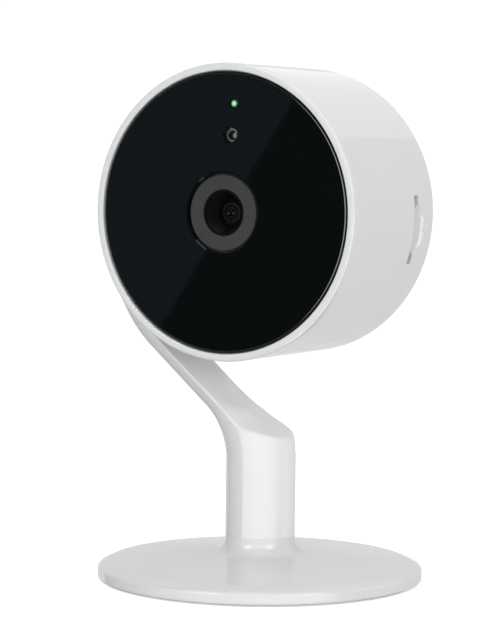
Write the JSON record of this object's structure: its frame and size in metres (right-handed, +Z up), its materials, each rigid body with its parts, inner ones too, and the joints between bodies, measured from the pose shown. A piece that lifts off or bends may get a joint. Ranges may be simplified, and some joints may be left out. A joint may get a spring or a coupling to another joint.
{
  "type": "security camera",
  "caption": "Small indoor security camera: a round glossy white camera head with a black front, on a side ball joint, a bent arm and a round weighted base.",
  "frame": {"origin": "on the table, on the post's axis at the centre of the base's foot", "axes": "+Z up, the camera looks along -Y, the arm is on the -X side"},
  "size_m": [0.0758, 0.0734, 0.1155],
  "materials": {
    "white_plastic": "gloss white moulded plastic",
    "black_window": "polished black infrared-passing acrylic",
    "grey_trim": "fine matte dark grey plastic",
    "black_plastic": "matte black plastic",
    "clear_plastic": "clear polished light pipe",
    "optical_glass": "coated optical glass",
    "filter_glass": "coated filter glass",
    "nylon": "natural nylon",
    "steel": "zinc-plated steel",
    "spring_steel": "spring steel",
    "chrome_steel": "polished plated steel",
    "circuit_board": "solder-masked circuit board",
    "chip": "moulded chip package",
    "aluminium": "blasted aluminium",
    "copper": "enamelled copper winding",
    "rubber": "matte rubber",
    "status_green": "lit green status light",
    "infrared_led": "clear dome of an infrared light",
    "adhesive": "double-sided adhesive",
    "speaker_cone": "coated speaker cone"
  },
  "bodies": {
    "root": {"base_cover": "white_plastic", "base_plate": "steel", "base_weight": "steel", "base_screws": "steel", "foot_pad": "rubber"},
    "arm": {"arm": "white_plastic", "tilt_plug": "white_plastic", "tilt_bush": "nylon", "tilt_washer": "spring_steel", "swivel_spring": "spring_steel", "swivel_retainer": "steel", "swivel_screw": "steel"},
    "stud": {"ball_stud": "chrome_steel", "tilt_screw": "steel"},
    "reset_button": {"reset_button": "white_plastic"},
    "filter_frame": {"ir_cut_frame": "black_plastic", "ir_cut_glass": "filter_glass", "clear_glass": "filter_glass"},
    "head": {"aperture_stop": "black_plastic", "barrel_shell": "white_plastic", "board_ribbon": "adhesive", "board_screws": "steel", "card_socket": "chrome_steel", "charging_socket": "chrome_steel", "friction_cup": "nylon", "friction_spring": "spring_steel", "front_carrier": "black_plastic", "heat_spreader": "aluminium", "image_sensor": "chip", "infrared_leds": "infrared_led", "ir_cut_coil": "copper", "led_pipe": "clear_plastic", "lens_baffle": "black_plastic", "lens_barrel": "black_plastic", "lens_front_glass": "optical_glass", "lens_holder": "black_plastic", "lens_middle_glass": "optical_glass", "lens_rear_glass": "optical_glass", "lens_ring": "grey_trim", "light_board": "circuit_board", "light_board_screws": "steel", "light_sensor": "chip", "main_board": "circuit_board", "microphone": "chip", "processor": "chip", "rear_cover": "white_plastic", "rear_screws": "steel", "reset_switch": "chip", "sensor_board": "circuit_board", "sensor_window": "clear_plastic", "socket_cap": "black_plastic", "socket_liner": "nylon", "socket_screws": "steel", "speaker": "speaker_cone", "speaker_gasket": "rubber", "status_led": "status_green", "wifi_antenna": "circuit_board", "window": "black_window", "window_tape": "adhesive"}
  },
  "joints": [
    {"name": "base_swivel", "type": "hinge", "parent": "root", "child": "arm", "pos_m": [0, 0, 0.01], "axis": [0, 0, 1], "range_deg": [-175, 175]},
    {"name": "head_tilt", "type": "hinge", "parent": "arm", "child": "stud", "pos_m": [-0.02593, 0, 0.08603], "axis": [1, 0, 0], "range_deg": [-90, 90]},
    {"name": "head_swing", "type": "hinge", "parent": "stud", "child": "head", "pos_m": [-0.02593, 0, 0.08603], "axis": [0, -1, 0], "range_deg": [0, 12.88]},
    {"name": "reset_press", "type": "slide", "parent": "head", "child": "reset_button", "axis": [0, -1, 0], "range_m": [0, 0.0005], "stiffness_N_per_m": 400},
    {"name": "filter_slide", "type": "slide", "parent": "head", "child": "filter_frame", "axis": [-0.9937, 0, 0.1122], "range_m": [0, 0.0074]}
  ]
}
